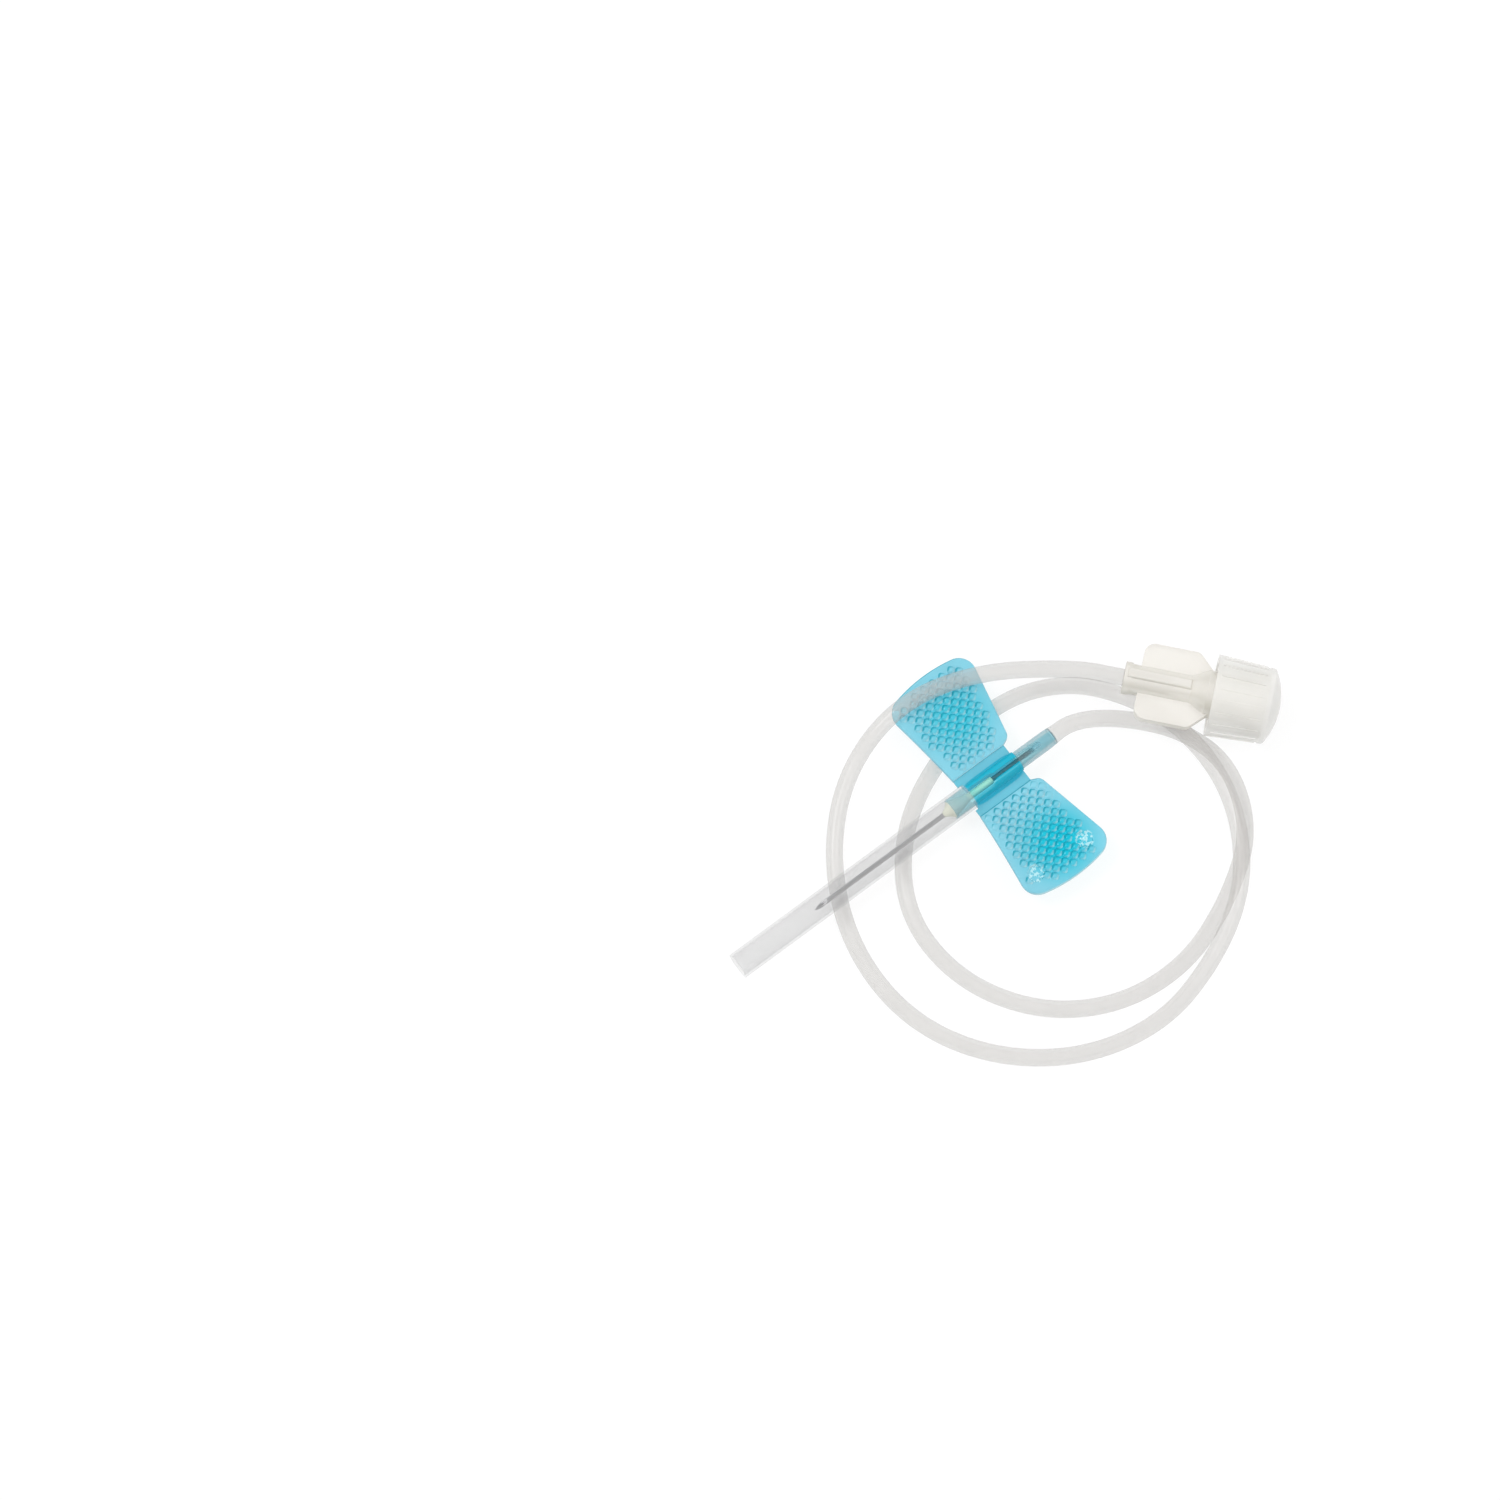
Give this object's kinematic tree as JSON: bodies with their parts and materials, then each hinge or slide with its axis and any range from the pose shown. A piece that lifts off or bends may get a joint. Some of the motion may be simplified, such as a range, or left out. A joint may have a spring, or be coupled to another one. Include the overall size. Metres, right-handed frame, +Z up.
{
  "type": "winged infusion set",
  "caption": "Guarded steel butterfly needle in a soft studded wing hub, with a looped soft tube to a finned luer-lock connector under a screw cap.",
  "frame": {"origin": "on the flat underside of the hub's sleeve, below its middle", "axes": "+X along the needle from its tip towards the tubing, Y along the wings, +Z up off the skin or table"},
  "size_m": [0.0774, 0.054, 0.0104],
  "materials": {
    "hub_vinyl": "translucent blue soft vinyl, satin",
    "needle_steel": "drawn stainless steel",
    "cured_glue": "clear pale yellow-green cured glue",
    "guard_plastic": "clear extruded tube",
    "tube_vinyl": "milky clear soft vinyl",
    "connector_plastic": "ivory moulded plastic, satin",
    "cap_plastic": "natural translucent moulded plastic, satin"
  },
  "bodies": {
    "set": {"wing_hub": "hub_vinyl", "needle_cannula": "needle_steel", "needle_adhesive": "cured_glue", "tubing": "tube_vinyl", "luer_connector": "connector_plastic"},
    "guard": {"needle_guard": "guard_plastic"},
    "cap": {"luer_cap": "cap_plastic"}
  },
  "joints": [
    {"name": "guard_pull", "type": "slide", "parent": "set", "child": "guard", "axis": [-1, 0, 0], "range_m": [0, 0.035]},
    {"name": "cap_off", "type": "slide", "parent": "set", "child": "cap", "axis": [0.6626, -0.749, 0], "range_m": [0, 0.012]}
  ]
}
